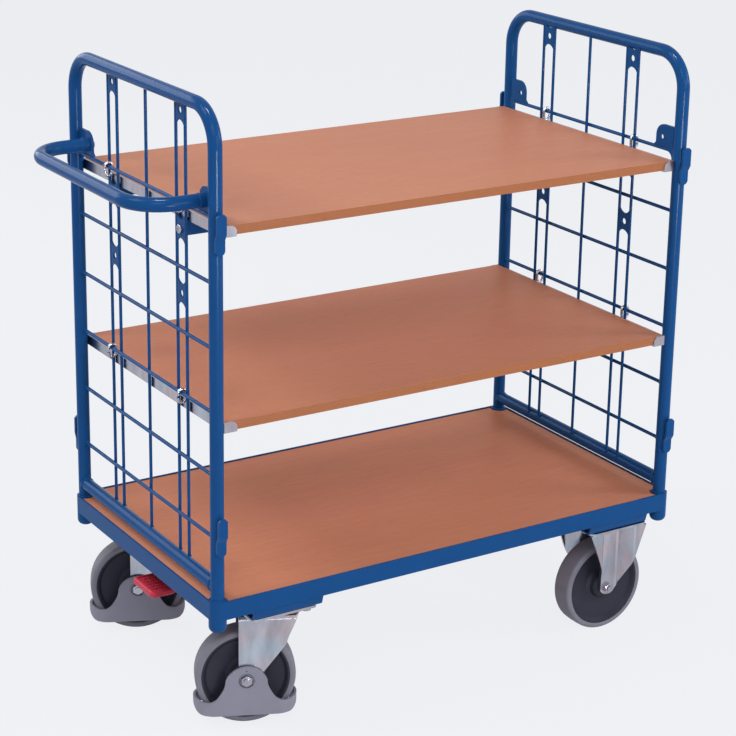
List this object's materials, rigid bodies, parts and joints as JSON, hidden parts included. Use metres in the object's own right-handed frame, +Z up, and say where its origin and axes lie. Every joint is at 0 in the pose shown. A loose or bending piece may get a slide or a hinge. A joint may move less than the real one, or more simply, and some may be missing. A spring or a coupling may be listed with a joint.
{
  "type": "shelf trolley",
  "caption": "Shelf trolley with a framed deck, hung shelves between two tube hoops with wire grilles, push handle, swivel and fixed castors and a central foot brake.",
  "frame": {"origin": "on the floor, in the middle of the overall length and width", "axes": "+X from the push handle end to the far end, +Y across the trolley to the left of a person at the handle, +Z up"},
  "size_m": [0.9828, 0.518, 1.0146],
  "materials": {
    "blue_powder_coat": "satin powder coat",
    "beech_laminate": "satin printed laminate",
    "zinc_plated_steel": "bright zinc plate",
    "grey_tyre": "matt solid rubber",
    "black_wheel_centre": "moulded",
    "grey_guard": "moulded, slightly grained",
    "red_pedal": "moulded"
  },
  "bodies": {
    "frame": {"long_rims": "blue_powder_coat", "end_rims": "blue_powder_coat", "corner_sockets": "blue_powder_coat", "handle_end_cross_plate": "blue_powder_coat", "far_end_cross_plate": "blue_powder_coat", "handle_hoop": "blue_powder_coat", "handle_hoop_cross_wires": "blue_powder_coat", "handle_hoop_upright_wires": "blue_powder_coat", "handle_hoop_hole_plates": "blue_powder_coat", "far_hoop": "blue_powder_coat", "far_hoop_cross_wires": "blue_powder_coat", "far_hoop_upright_wires": "blue_powder_coat", "far_hoop_hole_plates": "blue_powder_coat", "hoop_foot_bars": "blue_powder_coat", "hoop_tabs": "blue_powder_coat", "post_lugs": "blue_powder_coat", "push_handle": "blue_powder_coat", "handle_end_plugs": "blue_powder_coat", "shelf_brackets": "blue_powder_coat", "deck_board": "beech_laminate", "top_shelf_board": "beech_laminate", "top_shelf_rails": "zinc_plated_steel", "top_shelf_hooks": "zinc_plated_steel", "bracket_screws": "zinc_plated_steel", "handle_bolts": "zinc_plated_steel", "castor_fasteners": "zinc_plated_steel", "fixed_axles": "zinc_plated_steel", "brake_shaft_brackets": "zinc_plated_steel", "front_swivel_plate": "zinc_plated_steel", "rear_swivel_plate": "zinc_plated_steel", "front_kingpin": "zinc_plated_steel", "rear_kingpin": "zinc_plated_steel", "front_fixed_fork": "zinc_plated_steel", "rear_fixed_fork": "zinc_plated_steel"},
    "middle_shelf": {"middle_shelf_board": "beech_laminate", "middle_shelf_rails": "zinc_plated_steel", "middle_shelf_hooks": "zinc_plated_steel"},
    "brake": {"brake_shaft": "zinc_plated_steel", "brake_fingers": "zinc_plated_steel", "brake_arm": "zinc_plated_steel", "brake_pedal": "red_pedal"},
    "front_fork": {"front_bearing_ring": "zinc_plated_steel", "front_swivel_fork": "zinc_plated_steel", "front_foot_guard": "grey_guard", "front_swivel_axle": "zinc_plated_steel"},
    "front_swivel_roller": {"front_swivel_wheel": "black_wheel_centre", "front_swivel_tyre": "grey_tyre"},
    "front_fixed_roller": {"front_fixed_wheel": "black_wheel_centre", "front_fixed_tyre": "grey_tyre"},
    "front_plunger": {"front_brake_plunger": "zinc_plated_steel"},
    "rear_fork": {"rear_bearing_ring": "zinc_plated_steel", "rear_swivel_fork": "zinc_plated_steel", "rear_foot_guard": "grey_guard", "rear_swivel_axle": "zinc_plated_steel"},
    "rear_swivel_roller": {"rear_swivel_wheel": "black_wheel_centre", "rear_swivel_tyre": "grey_tyre"},
    "rear_fixed_roller": {"rear_fixed_wheel": "black_wheel_centre", "rear_fixed_tyre": "grey_tyre"},
    "rear_plunger": {"rear_brake_plunger": "zinc_plated_steel"}
  },
  "joints": [
    {"name": "middle_shelf_lift", "type": "slide", "parent": "frame", "child": "middle_shelf", "axis": [0, 0, 1], "range_m": [0, 0.008]},
    {"name": "brake_pedal_press", "type": "hinge", "parent": "frame", "child": "brake", "pos_m": [-0.2496, 0, 0.22], "axis": [0, -1, 0], "range_deg": [0, 15]},
    {"name": "front_swivel", "type": "hinge", "parent": "frame", "child": "front_fork", "pos_m": [-0.2636, -0.192, 0.19], "axis": [0, 0, 1], "continuous": true},
    {"name": "front_swivel_wheel_spin", "type": "hinge", "parent": "front_fork", "child": "front_swivel_roller", "pos_m": [-0.30014, -0.17573, 0.08], "axis": [0.4067, 0.9135, 0], "continuous": true},
    {"name": "front_fixed_wheel_spin", "type": "hinge", "parent": "frame", "child": "front_fixed_roller", "pos_m": [0.3904, -0.19, 0.08], "axis": [0, 1, 0], "continuous": true},
    {"name": "front_plunger_slide", "type": "slide", "parent": "front_fork", "child": "front_plunger", "axis": [0, 0, -1], "range_m": [0, 0.0037]},
    {"name": "rear_swivel", "type": "hinge", "parent": "frame", "child": "rear_fork", "pos_m": [-0.2636, 0.192, 0.19], "axis": [0, 0, 1], "continuous": true},
    {"name": "rear_swivel_wheel_spin", "type": "hinge", "parent": "rear_fork", "child": "rear_swivel_roller", "pos_m": [-0.30014, 0.20827, 0.08], "axis": [0.4067, 0.9135, 0], "continuous": true},
    {"name": "rear_fixed_wheel_spin", "type": "hinge", "parent": "frame", "child": "rear_fixed_roller", "pos_m": [0.3904, 0.19, 0.08], "axis": [0, 1, 0], "continuous": true},
    {"name": "rear_plunger_slide", "type": "slide", "parent": "rear_fork", "child": "rear_plunger", "axis": [0, 0, -1], "range_m": [0, 0.0037]}
  ],
  "couplings": [
    {"joint": "front_plunger_slide", "follows": "brake_pedal_press", "m_per_rad": 0.014},
    {"joint": "rear_plunger_slide", "follows": "brake_pedal_press", "m_per_rad": 0.014}
  ]
}
